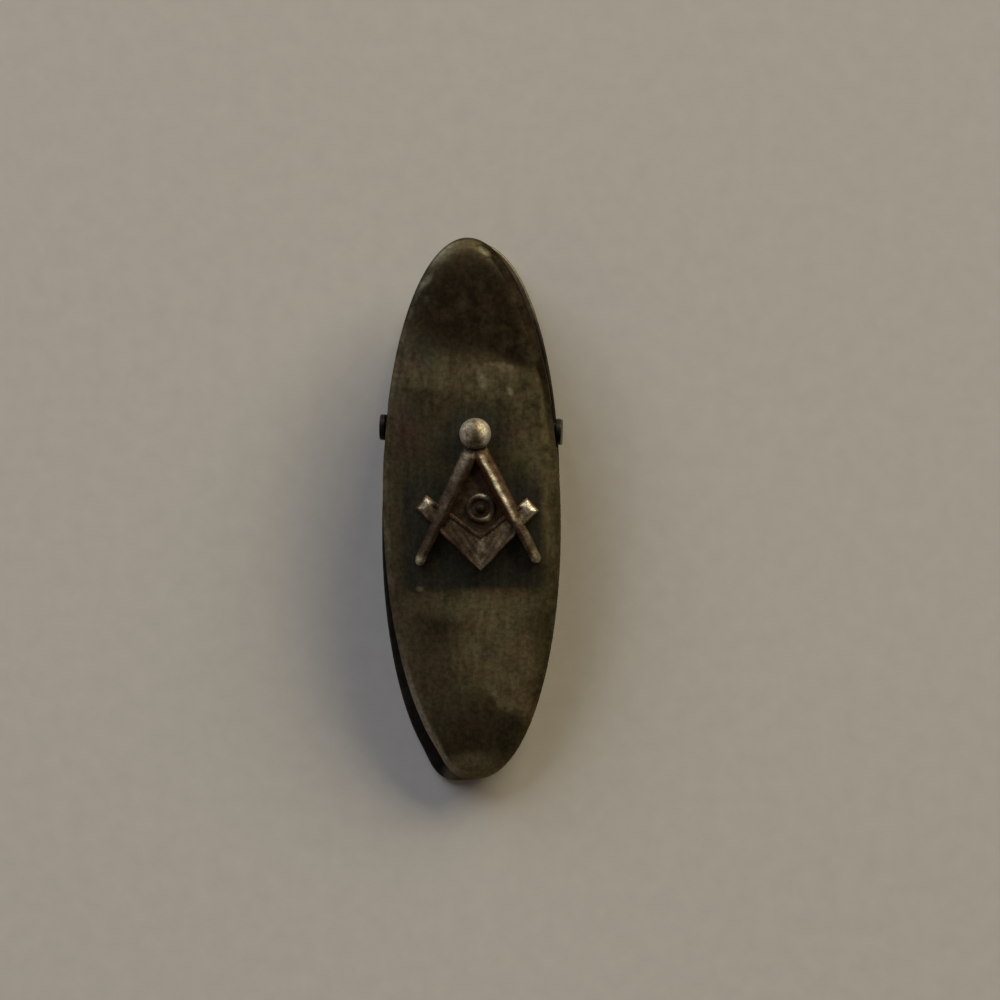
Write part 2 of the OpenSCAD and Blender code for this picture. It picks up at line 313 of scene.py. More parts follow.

# %% [markdown]
# ## The tarnish of the front plate
#
# Old silver plate goes yellow, then brown, then blue-black. It is darkest where a cloth never reaches, close
# round the ornament, and olive where it is rubbed. Six attributes place these tones: `halo` round the
# ornament, `umber` for red-brown patches, one for pale patches that are worn metal and painted light, one
# for the few bright smears and painted highlights, one for the almost black patches, which are tarnish and,
# at the plate's ends and right side, a painted dark reflection and painted shade, and `edge` for the bevel,
# rubbed pale and partly painted sheen.

# %% Where the plate is dark, brown and rubbed
# Each patch: strength, x and y of its middle, both half sizes, turn in degrees, and how square its slope is
PATCHES = {
    "halo": [
        (0.9, 0.5, 5.2, 2.7, 2.3, 0, 4), (0.45, -2.6, 3.9, 1.2, 1.6, 0, 2),
        (0.45, 0.4, -16.0, 0.9, 0.7, 0, 2), (0.35, 4.0, 11.0, 1.8, 0.9, -35, 3),
    ],
    "umber": [
        (0.7, -0.2, 14.0, 2.8, 2.0, 0, 3), (0.5, -3.6, 11.1, 1.2, 0.9, 0, 2),
        (0.3, -3.0, 9.6, 0.9, 0.8, 0, 2), (0.3, -1.2, 8.5, 1.2, 0.8, 0, 2),
        (0.85, -4.5, 5.4, 1.3, 2.6, 0, 3), (0.55, -3.2, -10.8, 2.6, 5.4, 8, 3),
        (0.6, 2.2, -14.9, 1.1, 0.8, 0, 2), (0.4, 0.2, -15.6, 2.4, 1.6, 0, 3),
        (0.7, 1.8, 17.2, 0.9, 0.5, -30, 2), (0.7, -5.4, -5.6, 0.7, 1.8, 0, 2),
    ],
    # Pale patches: rubbed metal, and painted light where the face would catch the lamps, low on the right and
    # at both tips
    "rubbed": [
        (0.4, -0.4, 9.5, 5.2, 2.0, -4, 4), (0.45, -1.6, 17.9, 1.3, 0.6, 40, 2),
        (0.62, 0.3, -6.4, 5.2, 1.2, 0, 4), (1.0, 1.7, -9.4, 3.0, 3.2, 0, 3),
        (0.6, 2.9, -12.0, 1.4, 2.4, -10, 3), (1.0, -0.4, -18.0, 2.4, 1.0, 0, 3),
        (0.6, 4.9, -0.4, 0.9, 5.0, 0, 2), (0.3, 3.8, 5.5, 1.6, 4.5, 0, 2),
        (0.4, -0.5, -12.0, 2.0, 2.4, 0, 2), (0.4, -4.6, -8.0, 0.7, 3.5, 10, 2),
        (0.3, -3.0, -9.6, 2.2, 2.2, 0, 3), (0.5, -3.1, -13.2, 2.2, 2.8, 12, 3),
        (0.55, 2.7, -13.3, 2.2, 0.9, -48, 3), (0.24, 0.6, -15.4, 2.2, 1.4, 0, 3),
    ],
    # Almost black patches: tarnish, and at both ends and on the right a painted dark reflection and painted
    # shade
    "soot": [
        (0.96, 0.25, 14.35, 5.25, 3.7, 0, 4), (0.9, 3.5, 11.2, 2.5, 1.1, -38, 3),
        (0.13, 0.36, -16.0, 2.6, 1.6, 0, 3), (0.15, -0.44, -13.9, 1.8, 1.4, 0, 3),
        (0.35, 5.0, -9.0, 0.7, 5.0, 8, 2),
    ],
    # Bright smears, partly painted highlights, such as those at the top tip
    "streak": [
        (0.68, 2.1, 10.2, 1.1, 0.42, -24, 1.4), (0.75, 0.95, 9.2, 0.38, 1.0, 18, 1.5),
        (1.0, 2.9, 8.4, 0.26, 0.5, 28, 1.6), (0.66, 1.45, -13.0, 0.45, 1.6, 34, 1.8),
        (0.8, -3.7, -5.3, 0.34, 0.26, 0, 1.6), (0.3, -1.6, 18.1, 0.8, 0.4, 40, 2),
        (0.54, 1.3, 18.05, 0.95, 0.35, -38, 2), (0.58, -2.75, 16.2, 0.5, 1.2, -37, 2),
    ],
}
print("patches:", {name: len(patches) for name, patches in PATCHES.items()})


def step(value, low, high):
    """0 below low, 1 above high, and a smooth s-curve 3t^2 - 2t^3 between them."""
    t = np.clip((value - low) / (high - low), 0, 1)
    return t * t * (3 - 2 * t)


def spot(x, y, at_x, at_y, half_w, half_l, turn=0.0, power=2.0):
    """A soft oval patch: exp(-r^power), with r the distance from its middle in units of its half sizes."""
    u, v = rotated(x - at_x, y - at_y, -np.radians(turn))
    return np.exp(-np.sqrt((u / half_w) ** 2 + (v / half_l) ** 2) ** power)


def plate_tones(x, y):
    """The tones at points (x, y) of the plate's face, in mm from its middle: for each, the sum of its
    patches. The halo also fills a soft-edged box round the ornament, with a nearly straight lower edge."""
    tones = {
        name: np.clip(sum(k * spot(x, y, *place) for k, *place in patches), 0, 1)
        for name, patches in PATCHES.items()
    }
    box = step(x, -5.6, -4.2) * (1 - step(x, 4.4, 5.7)) * step(y, -5.8, -4.9) * (1 - step(y, 1.0, 4.6))
    tones["halo"] = np.maximum(tones["halo"], box)
    return tones

# %% [markdown]
# The node tree lays these tones over each other like glazes. Each one is broken up by noise, so that no
# patch has a clean outline, and a stretched noise adds the fine lengthwise rubbing that a tie gives.

# %% The plate's tarnished metal
def plate_tarnish_and_light():
    """Olive-brown tarnish over plated brass, with painted light, shade and reflections, from the plate's
    attributes and noise.
    """
    material, tree = new_material("plate_tarnish_and_light")
    drift = noise(tree, 420, 3, 0.5)
    mottle = noise(tree, 900, 6, 0.6)
    grime = noise(tree, 3200, 5, 0.65)
    brushed = noise(tree, 2600, 3, 0.5, (1, 0.12, 1))

    def broken(name, low, high, bite=1.0):
        """An attribute whose outline the mottling eats into: a ramp over attribute + bite x noise."""
        eaten = maths(tree, "MULTIPLY_ADD", mottle, bite, -bite / 2)
        return ramp(tree, maths(tree, "ADD", attribute(tree, name), eaten), [(low, 0.0), (high, 1.0)])

    olive = ramp(tree, mottle, [(0.3, (0.062, 0.05, 0.026)), (0.7, (0.1, 0.083, 0.043))])
    soot = ramp(tree, mottle, [(0.38, (0.011, 0.007, 0.003)), (0.62, (0.037, 0.027, 0.014))])
    # Over the olive go: pale rubbed metal with painted light, umber tarnish, near-black tarnish with a
    # painted dark reflection and painted shade, the halo, the bevel's wear and painted sheen, and smears with
    # painted highlights.
    colour = mix(tree, broken("rubbed", 0.15, 0.95), olive, (0.252, 0.207, 0.11))
    colour = mix(tree, broken("umber", 0.2, 0.95), colour, (0.081, 0.055, 0.037))
    colour = mix(tree, broken("soot", 0.1, 0.85, 1.5), colour, soot)
    colour = mix(tree, broken("halo", 0.25, 0.9), colour, (0.055, 0.052, 0.037))
    colour = mix(tree, broken("edge", 0.15, 0.95), colour, (0.27, 0.235, 0.18))
    colour = mix(tree, broken("streak", 0.3, 1.0), colour, (0.36, 0.33, 0.21))
    colour = shade(tree, colour, drift, (0.94, 1.02, 0.99), (1.07, 0.985, 0.97))
    colour = shade(tree, colour, grime, 0.7, 1.28)
    colour = shade(tree, colour, brushed, 0.92, 1.08)
    matt = maths(tree, "MULTIPLY", broken("soot", 0.15, 0.8), 0.22)
    rough = maths(tree, "ADD", ramp(tree, brushed, [(0.3, 0.44), (0.7, 0.58)]), matt)
    coat(tree, colour, 0.75, rough, grime, 0.2, 0.00002, (0.35, 0.31, 0.26))
    return material


plate_metal = plate_tarnish_and_light()

# %% [markdown]
# ## The front plate
#
# On the real clip this is one sheet, domed in a press, with a narrow bevel and a rim turned down round it.
# A subdivided cage could give that shape, but the bevel has to keep its width all round an oval. So a section
# with the bevel and the rim is carried round the ellipse, always square to its edge.

# %% Section and grid of the plate
PLATE_COLUMNS, FACE_ROWS, UNDER_ROWS = 480, 64, 24
FACE_INSET = BEVEL_W + 0.53
# Corners of the section through the bevel and the rim, as (inset, drop), and how round each inner one is
BEVEL = [(BEVEL_W + 0.5, 0), (BEVEL_W, 0.03), (0.08, 0.35), (0, 0.55)]
SECTION = [*BEVEL, (0, RIM_DROP), (WALL, RIM_DROP), (WALL, 0.8)]
SECTION_RADII = (0.42, 0.11, 0.1, 0.12, 0.12)
EAR_RELIEF, EAR_RELIEF_HALF = 0.035, 1.35


def around(count):
    """Angles of count points evenly round a circle."""
    return np.arange(count) * 2 * np.pi / count


def hill(distance, width):
    """A smooth hill: 1 at distance 0 and falling as exp(-(distance / width)^2)."""
    return np.exp(-(distance / width) ** 2)


def rounded_path(corners, radii, steps=6):
    """Points along a line through corners, each inner corner cut off by a curve. From a to b past corner c
    the curve is (1-s)^2 a + 2 s (1-s) c + s^2 b, with a and b a radius away from c."""
    corners = np.asarray(corners, float)
    s = np.linspace(0, 1, steps)[:, None]
    pieces = [corners[:1]]
    for before, c, after, r in zip(corners, corners[1:], corners[2:], radii):
        a, b = c + unit(before - c) * r, c + unit(after - c) * r
        pieces.append((1 - s) ** 2 * a + 2 * s * (1 - s) * c + s ** 2 * b)
    return np.concatenate(pieces + [corners[-1:]])


def dents(x, y):
    """Slight unevenness of an old hand-finished face, in mm: three slow waves and a few shallow dings."""
    waves = 0.007 * np.sin(0.9 * x + 0.35 * y) + 0.006 * np.sin(0.5 * y - 0.7 * x + 1.3)
    waves = waves + 0.004 * np.sin(1.7 * x + 0.9)
    dings = 0.02 * spot(x, y, 2.2, 9.6, 0.8, 1.1) + 0.015 * spot(x, y, -2.4, -9.0, 1.0, 1.3)
    return waves - (dings + 0.02 * spot(x, y, 1.2, -13.4, 0.7, 1.2, 30))


def plate_grid():
    """Rows from the middle of the face, over the bevel, down and up the rim, to the middle underneath. The
    rim's height is face_z(edge) - drop, and the face's is face_z of its own place. With the grid come two
    fields for each row: how much it is bevel, and how much it is the rim's foot."""
    angle, halves = around(PLATE_COLUMNS), (PLATE_W / 2, PLATE_L / 2)
    edge = oval(angle, *halves)
    section = rounded_path(SECTION, SECTION_RADII, 12)
    inset, drop = section[:, :1], section[:, 1:]
    on_bevel = np.clip(1 - inset / BEVEL_W, 0, 1)
    on_bevel[np.argmin(inset):] = 1
    share = (np.arange(1, FACE_ROWS + 1) / FACE_ROWS)[:, None, None]
    face = share * oval(angle, *halves, FACE_INSET)
    rim = oval(angle[None], *halves, inset + 0 * angle)
    near_ear = np.exp(-np.abs((edge[:, 1] + PLATE_Y - HINGE_Y) / EAR_RELIEF_HALF) ** 8)
    rim[..., 0] *= 1 - EAR_RELIEF * near_ear * step(drop, 0.46, 0.6) * (1 - step(inset, 0.1, 0.3))
    under = (1 - np.arange(UNDER_ROWS) / UNDER_ROWS)[:, None, None] * oval(angle, *halves, WALL)

    def dented(rows, out=0.0):
        """Height of the face over rows of points, dents and all."""
        x, y = np.moveaxis(rows, -1, 0)
        return face_z(x, y, out) + dents(x, y)

    rim_z = (1 - on_bevel) * dented(rim) + on_bevel * face_z(*edge.T) - drop
    heights = np.concatenate([dented(face), rim_z, dented(under, -WALL)])
    on_top = (1 - step(inset, 0.25, 0.65)) * (1 - step(drop, 0.5, 0.9))
    rim_foot = 0.55 * hill(drop - RIM_DROP, 0.1) * (1 - step(inset, 0.2, 0.45))
    bevel, foot = (np.pad(field, ((FACE_ROWS, UNDER_ROWS), (0, 0))) for field in (on_top, rim_foot))
    return np.dstack([np.concatenate([face, rim, under]), heights]), bevel, foot


grid, bevel, foot = plate_grid()
print("plate:", grid.shape[0], "rows of", grid.shape[1], "points")

# %% [markdown]
# Under the face hang two small lugs for the hinge pin, tabs of the same sheet that are bent down. A bevelled
# cube would do for most of it, but a plaque worked out from its outline is round where the tab is round.

# %% Lugs for the hinge pin
LUG_OUT, LUG_T, LUG_EDGE, LUG_TOP = 5.7, 0.4, 0.06, 1.25


def soft_edge(radius, count):
    """A rounded edge, as a quarter circle from the top face to the side: how far each of its points lies
    inside the outline, radius (1 - sin t), and how far below the top, radius (1 - cos t)."""
    t = np.linspace(0, np.pi / 2, count)
    return radius * (1 - np.sin(t)), radius * (1 - np.cos(t))


def with_height(flat, height):
    """Rows of points (x, y, height) from rows of points (x, y) and one height for each row."""
    return np.dstack([flat, height[:, None] + 0 * flat[..., 0]])


def plaque(outline, thickness, edge, rows=8):
    """Flat plaque in the plane of x and y: rings that shrink towards the middle of its outline, and at the
    edge a quarter circle of radius edge on each side."""
    middle = outline.mean(0)
    ring = outline - middle
    reach = np.linalg.norm(ring, axis=1)[None, :, None]
    pull, fall = soft_edge(edge, 5)
    top = np.linspace(0.2, 1, rows, endpoint=False)[:, None, None] * ring * (1 - edge / reach)
    sides = ring * (1 - np.concatenate([pull, pull[::-1]])[:, None, None] / reach)
    half = np.concatenate([np.full(rows, thickness / 2), thickness / 2 - fall])
    return with_height(np.concatenate([top, sides, top[::-1]]) + middle, np.concatenate([half, -half[::-1]]))


def lug(side):
    """Hinge lug: a tab in the plane of y and z, pitched with the plate. Round the pin it is a half circle of
    radius r, and above that a half oval that reaches up to LUG_TOP, where the sheet hides it."""
    r, t = PIN_R + 0.5, around(48)
    outline = np.stack([r * np.cos(t), np.where(np.sin(t) > 0, LUG_TOP, r) * np.sin(t)], axis=1)
    y, z, x = np.moveaxis(plaque(outline, LUG_T, LUG_EDGE), -1, 0)
    y, z = rotated(y, z, PITCH)
    return np.stack([x + side * (LUG_OUT - LUG_T / 2), y + HINGE_Y, z + HINGE_Z], axis=-1)


lugs = [lug(side) for side in (1, -1)]
print("lugs from", LUG_OUT - LUG_T, "to", LUG_OUT, "mm out")

# %% [markdown]
# A hand meets the plate at its bevel, so that is rubbed pale, most at the lower left, where the paleness
# is partly painted sheen. Along the upper right the bevel is darkened with painted shade. The foot of the rim
# is rubbed too.

# %% The finished front plate
def bevel_wear_and_sheen(x, y):
    """How pale the bevel is on its way round: most at the lower left, some at the left and the top. It is
    rubbed metal and partly painted sheen, most at the lower left.
    """
    left = step(-x, 0.2, 1.8)
    lower = step(-y, 8.0, 14.5) * (1 - 0.7 * step(-y, 17.3, 18.6))
    return left * (0.34 - 0.1 * step(y, 4, 9) + 0.68 * lower) + 0.12 * hill(y - 17.8, 0.9)


def bevel_shade(x, y):
    """Painted shade on the bevel, only along the upper right: how dark it is made there."""
    return 0.9 * step(x, 0.2, 1.8) * step(y, 3, 8)


flat_x, flat_y = grid[..., 0], grid[..., 1]
tones = plate_tones(flat_x, flat_y)
# The bevel's painted shade joins the near-black tone; its paleness, partly rubbed and partly painted sheen,
# joins the rim foot's wear.
tones["soot"] = np.clip(tones["soot"] + bevel * bevel_shade(flat_x, flat_y), 0, 1)
wear_and_sheen = bevel * bevel_wear_and_sheen(flat_x, flat_y) + foot
plate_skin = moved(skin(grid, edge=wear_and_sheen, **tones), on_plate)
nothing = {name: 0.0 for name in tones}
lug_skins = [skin(made, edge=0.0, **nothing) for made in lugs]
plate = piece("plate_shell", [plate_skin, *lug_skins], plate_metal)
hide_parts("front_plate")
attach(plate, "front")

# %% [markdown]
# ## The back lever
#
# The lever is a flat oval of the same sheet, with a pair of ears bent up out of it for the hinge pin. Its
# colour is almost black: tarnish, and painted shade for the narrow gap under the plate. It is paler where it
# is handled, and at the thumb end and the jaw tip that paleness is partly painted light. A plain dark colour
# would look like plastic, so noise breaks it up.

# %% The lever's black tarnish
def black_tarnish_and_shade():
    """Nearly black sulphide on brass, darkened as painted shade, with a brown cast where it is thinner, and
    paler where it is rubbed and where light is painted.
    """
    material, tree = new_material("black_tarnish_and_shade")
    mottle = noise(tree, 1100, 6, 0.6)
    fine = noise(tree, 5200, 4, 0.6)
    colour = ramp(tree, mottle, [(0.35, (0.014, 0.012, 0.01)), (0.7, (0.04, 0.033, 0.026))])
    patchy = ramp(tree, mottle, [(0.3, 0.3), (0.6, 1.0)])
    rubbed = maths(tree, "MULTIPLY", attribute(tree, "rubbed"), patchy)
    colour = mix(tree, rubbed, colour, (0.3, 0.25, 0.17))
    coat(tree, colour, 0.8, ramp(tree, fine, [(0.3, 0.4), (0.7, 0.58)]), fine, 0.15, 0.00002)
    return material


lever_metal = black_tarnish_and_shade()

# %% [markdown]
# The sheet is made of rings that shrink to its middle. Each ear is a strip carried along a bent path, which
# gives a true bend at its foot. Three small ribs near the jaw grip the cloth.

# %% Lever sheet, ears and ribs
EAR_W, EAR_OUT, EAR_T = 1.8, 6.35, 0.4
EAR_FROM, EAR_BEND = 5.0, 0.45
RIB_RISE, RIB_R, RIB_HALF = 0.2, 0.5, 1.6
RIB_YS = (-15.4, -14.2, -13.0)
LEVER_EDGE, LEVER_ROWS = 0.16, 21


def lever_sheet():
    """Flat oval sheet: rings that shrink to the middle, and a quarter circle at each edge."""
    angle, halves = around(360), (LEVER_W / 2, LEVER_L / 2)
    inset, fall = soft_edge(LEVER_EDGE, 6)
    share = (np.arange(1, LEVER_ROWS + 1) / (LEVER_ROWS + 1))[:, None, None]
    flat = share * oval(angle, *halves, LEVER_EDGE)
    rim = oval(angle[None], *halves, np.concatenate([inset, inset[::-1]])[:, None] + 0 * angle)
    top, bottom = np.full(LEVER_ROWS, LEVER_T), np.zeros(LEVER_ROWS)
    heights = np.concatenate([top, LEVER_T - fall, fall[::-1], bottom])
    return with_height(np.concatenate([flat, rim, flat[::-1]]) + np.array([0, LEVER_Y]), heights)


def ear(side):
    """One ear: a strip along a path that starts inside the lever's edge, bends up and ends round about the
    hinge pin. Its half width there is sqrt(r^2 - h^2) at height h over the pin. Its section is the rounded
    rectangle x^8 + y^8 = 1, with points |cos t|^(1/4) and |sin t|^(1/4), each with its own sign."""
    middle, low, r = EAR_OUT - EAR_T / 2, LEVER_T / 2, EAR_W / 2
    path = rounded_path([(EAR_FROM, low), (middle, low), (middle, HINGE_Z)], (EAR_BEND,), 9)
    h = r * np.sin(np.linspace(0.12, np.pi / 2 - 0.02, 14))
    half = np.concatenate([np.full(len(path), r), np.sqrt(r ** 2 - h ** 2)])[:, None]
    path = np.concatenate([path, np.stack([np.full(len(h), middle), HINGE_Z + h], axis=1)])
    ahead = unit(np.gradient(path, axis=0))
    t = around(40) + np.pi / 40
    across, over = (np.sign(v) * np.abs(v) ** 0.25 for v in (np.cos(t), np.sin(t)))
    over = EAR_T / 2 * over * np.minimum(1, 0.35 + half / 0.5)
    x, z = path[:, :1] - ahead[:, 1:] * over, path[:, 1:] + ahead[:, :1] * over
    return np.stack([side * x, HINGE_Y + half * across, z], axis=-1)


def rib(y):
    """Grip rib: a bar across the lever with round ends, sunk so that RIB_RISE shows."""
    t, s = around(24), np.linspace(-1, 1, 15)[:, None]
    thin = np.sqrt(np.clip(1 - s ** 8, 0.0, 1))
    z = LEVER_T + RIB_RISE - RIB_R + RIB_R * thin * np.sin(t)
    return np.stack([RIB_HALF * s + 0 * t, y + RIB_R * thin * np.cos(t), np.maximum(z, 0.1)], axis=-1)


def lever_wear_and_light(grid):
    """How pale the lever is: rubbed at the thumb end and the jaw tip, which are also painted light, and along
    the borders of the ears.
    """
    x, y, z = np.moveaxis(grid, -1, 0)
    thumb_end = 0.6 * step(y, 12.5, 16.0) * step(x, -0.8, 1.4)
    jaw_end = 0.6 * step(-y, 17.6, 18.3) * step(x, -1.7, -1.0)
    border = step(np.abs(y - HINGE_Y), EAR_W / 2 - 0.16, EAR_W / 2 - 0.02) * step(np.abs(x), 5.8, 6.0)
    ear_edge = 0.5 * border * step(z, 0.5, 1.1) * (1 - step(z, HINGE_Z, HINGE_Z + 0.5))
    return thumb_end + jaw_end + ear_edge + 0.08 * step(y, 8, 16) * step(z, 0.2, 0.4)


lever_grids = [lever_sheet(), ear(1), ear(-1), *(rib(y) for y in RIB_YS)]
lever_skins = [moved(skin(g, rubbed=lever_wear_and_light(g)), on_lever) for g in lever_grids]
lever = piece("lever_plate", lever_skins, lever_metal)
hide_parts("lever")
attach(lever, "back")

# %% [markdown]
# ## The hinge pin
#
# The pin is drawn wire with both ends peened over the ears. A cylinder would do for its middle, but its
# domed ends catch the light, so it is a profile turned round its own axis.

# %% Wire, and the pin
PIN_HALF = EAR_OUT + 0.03


def dull_wire(name, dark, light):
    """Drawn wire, dulled: a colour between dark and light with noise drawn out along the wire."""
    material, tree = new_material(name)
    drawn = noise(tree, 4000, 4, 0.6, (0.3, 1, 1))
    colour = ramp(tree, drawn, [(0.3, dark), (0.7, light)])
    coat(tree, colour, 0.95, ramp(tree, drawn, [(0.3, 0.3), (0.7, 0.48)]), drawn, 0.1, 0.00001)
    return material


def hinge_pin(count=48):
    """Wire with softly domed ends: each point (x, r) of its profile goes round as (x, r cos t, r sin t)."""
    end = [(PIN_HALF - 0.06, PIN_R), (PIN_HALF, 0.3), (PIN_HALF, 0.02)]
    start = [(-x, r) for x, r in end[::-1]]
    profile = rounded_path(start + end, (0.1, 0.05, 0.05, 0.1))
    t, x, r = around(count), profile[:, :1], profile[:, 1:]
    return np.stack([x + 0 * t, HINGE_Y + r * np.cos(t), HINGE_Z + r * np.sin(t)], axis=-1)


pin_metal = dull_wire("pin_wire", (0.03, 0.027, 0.024), (0.08, 0.072, 0.06))
pin = piece("pin_wire", [skin(hinge_pin())], pin_metal)
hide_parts("hinge_pin")
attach(pin, "back")

# %% [markdown]
# ## The spring
#
# The spring is wire too, wound round the pin between the lugs: one leg pushes on the lever and the other
# under the plate. It is a circle carried along a path.

# %% The spring
WIRE_R, COIL_R, COIL_TURNS = 0.2, 0.85, 5
LOW_LEG_REACH, HIGH_LEG_REACH = 7.0, 6.0


def leg_touch(end, side):
    """Angle at which a straight leg from end touches the coil's circle."""
    return np.arctan2(end[1], end[0]) + side * np.arccos(COIL_R / np.hypot(*end))


def spring_path():
    """The leg on the lever, the coil about the pin, and the leg under the plate. The coil is a helix: at
    angle a it is at (x, COIL_R cos a, COIL_R sin a), and x grows evenly with a."""
    low = np.array([LOW_LEG_REACH, LEVER_T + WIRE_R + 0.1 - HINGE_Z])
    there = HINGE_Y + HIGH_LEG_REACH - PLATE_Y
    under = PLATE_Z + there * np.sin(PITCH) + face_z(0.0, there, -WALL)
    high = np.array([HIGH_LEG_REACH, under - WIRE_R - 0.2 - HINGE_Z])
    begin, end = leg_touch(low, -1), leg_touch(high, 1) - 2 * np.pi * (COIL_TURNS + 1)
    length = (2 * WIRE_R + 0.06) * (begin - end) / (2 * np.pi)
    a = np.linspace(begin, end, 24 * (COIL_TURNS + 1))
    x = np.linspace(-length / 2, length / 2, len(a))
    coil = np.stack([x, COIL_R * np.cos(a), COIL_R * np.sin(a)], axis=1)
    s = np.linspace(0, 1, 12, endpoint=False)[:, None]
    leg_in = (1 - s) * np.array([-length / 2, *low]) + s * coil[0]
    leg_out = coil[-1] + (1 - s[::-1]) * (np.array([length / 2, *high]) - coil[-1])
    return np.concatenate([leg_in, coil, leg_out]), length


def wire(path, radius, count=14):
    """Round wire along a path: at each point a circle square to the path, with one side kept square to X."""
    ahead = unit(np.gradient(path, axis=0))
    side = unit(np.cross(ahead, [1.0, 0, 0]))
    up = np.cross(side, ahead)
    t = around(count)[None, :, None]
    return path[:, None] + radius * (np.cos(t) * up[:, None] + np.sin(t) * side[:, None])


spring_metal = dull_wire("spring_wire", (0.2, 0.19, 0.17), (0.36, 0.34, 0.31))
path, coil_length = spring_path()
spring_skin = skin(wire(path + np.array([0, HINGE_Y, HINGE_Z]), WIRE_R))
spring = piece("torsion_spring", [spring_skin], spring_metal)
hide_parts("spring")
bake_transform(spring)

# %% [markdown]
# ## The ornament's metal
#
# The ornament is cast and was once bright. Sleeves have kept its high edges polished, the flats have gone
# brown and the corners hold dark grime. One attribute, `high`, is 1 on a ridge and 0 in a recess, and the
# colour and the roughness both follow it. It also carries painted light: painted highlights on the ring, the
# legs, the right arm and the corner of the square, a painted reflection on the ball, and painted shade on the
# square's edges. A second one, `copper`, is 1 where the plating is gone and the reddish metal under it shows;
# on the right leg's inner slope it is partly painted shade.

# %% Cast metal, worn on the high points
def casting_wear_and_light():
    """Cast metal: dark in the recesses, red-brown on the flats and pale on the ridges, with painted light and
    shade where the attributes place it.
    """
    material, tree = new_material("casting_wear_and_light")
    mottle = noise(tree, 1500, 6, 0.65)
    grain = noise(tree, 6500, 4, 0.6)
    exposed = maths(tree, "ADD", attribute(tree, "high"), maths(tree, "MULTIPLY_ADD", mottle, 0.9, -0.45))
    colour = ramp(tree, exposed, [
        (0.0, (0.02, 0.013, 0.006)),
        (0.3, (0.075, 0.048, 0.028)),
        (0.6, (0.2, 0.162, 0.1)),
        (0.95, (0.78, 0.69, 0.545)),
    ])
    colour = mix(tree, attribute(tree, "copper"), colour, (0.085, 0.027, 0.006))
    colour = shade(tree, colour, grain, 0.68, 1.25)
    rough = ramp(tree, exposed, [(0.1, 0.62), (0.9, 0.42)])
    coat(tree, colour, 0.75, rough, maths(tree, "ADD", grain, mottle), 0.4, 0.00005)
    return material


emblem_metal = casting_wear_and_light()

# %% [markdown]
# ## The square and compasses
#
# This is one casting on the real clip. A height map would blur its upright sides, so it is built from closed
# skins that grow into each other, each a short formula: slabs with softened edges for the square and its
# web, ridged bars for the compasses' legs, and turned shapes for the ball and for a generic ring with a bead
# in the middle.

# %% The ornament's frame and its slabs
EMBLEM_X, EMBLEM_Y = 0.44, 0.54
SEAT, THINNEST = 0.05, 0.07


def on_emblem(points):
    """From the ornament's frame to the clip's. A height in the ornament's frame is a height over the face.
    The casting is uneven: waves about a millimetre long take up to 0.05 mm off whatever stands clear of the
    face, and shift it sideways by up to 0.03 mm."""
    x, y, z = points.T
    clear = step(z, 0.1, 0.5)
    lumps = 0.014 * np.sin(5.1 * x + 2.3 * y + 0.7) + 0.011 * np.sin(3.7 * y - 6.2 * x + 2.1) - 0.025
    new_x = x + clear * (0.02 * np.sin(3.3 * y + 0.9 * x) + 0.01 * np.sin(8.1 * y)) + EMBLEM_X
    new_y = y + 0.02 * clear * np.sin(3.9 * x + 1.2) + EMBLEM_Y
    return on_plate(np.stack([new_x, new_y, face_z(new_x, new_y) + z + clear * lumps], axis=1))


def border(stops, shares):
    """A border line as a function: the point at a share of its length, on straight lines between stops."""
    stops = np.array(stops)
    return lambda share: np.stack([np.interp(share, shares, stops[:, k]) for k in (0, 1)], axis=1)


def slab(near, far, top, edge, rows, columns):
    """Slab between two border lines. near and far give the borders' points for a share of the slab's length,
    and top(share, across, width) gives the height and the wear. Near a border, at a distance d under edge,
    the top falls by edge - sqrt(edge^2 - (edge - d)^2). Underneath and at its ends the slab isn't worn."""
    fall, inset = soft_edge(edge, 6)
    along = np.linspace(0, 1, 200)
    ends = inset / np.linalg.norm(np.diff((near(along) + far(along)) / 2, axis=0), axis=1).sum()
    share = np.concatenate([ends, np.linspace(ends[-1], 1 - ends[-1], rows)[1:-1], 1 - ends[::-1]])
    share_fall, across_fall = (np.concatenate([fall, np.zeros(n - 2), fall[::-1]]) for n in (rows, columns))
    a, b = near(share), far(share)
    width = np.linalg.norm(b - a, axis=1)[:, None]
    sides = inset[None] / width
    middle = sides[:, -1:] + (1 - 2 * sides[:, -1:]) * np.linspace(0, 1, columns)[1:-1][None]
    across = np.concatenate([sides, middle, 1 - sides[:, ::-1]], axis=1)
    flat = a[:, None] + across[..., None] * (b - a)[:, None]
    height, high, copper = top(share[:, None], across * width, width)
    height = np.maximum(height - np.hypot(share_fall[:, None], across_fall[None]), THINNEST)
    under = np.dstack([flat, np.full(height.shape, SEAT)])
    loop = np.concatenate([np.dstack([flat, height]), under[:, ::-1]], axis=1)
    loop = np.concatenate([loop[:1], loop, loop[-1:]])
    loop[[0, -1], :, 2] = SEAT
    bare = ((1, 1), (0, height.shape[1]))
    high, copper = (np.pad(np.clip(v + 0 * height, 0, 1), bare) for v in (high, copper))
    return skin(loop, high=high, copper=copper)

# %% [markdown]
# The square is the flat part of the ornament. A plain slab would look cut out of sheet, so it has a raised
# border, fine marks, and at the end of each arm a block that sleeves have polished.

# %% The square, with its raised border and its graduation marks
SQUARE_X, SQUARE_H = 0.2, 0.6
CORNER_IN, CORNER_OUT, CORNER_SHARE = -2.05, -4.7, 0.52
LEFT_ARM, RIGHT_ARM, ARM_END_W, ARM_RISE = 5.5, 5.0, 1.24, np.radians(42)
ARM_ALONG, MARK_STEP = 5.3, 0.36
BORDER_W, FIELD_DROP = 0.2, 0.05


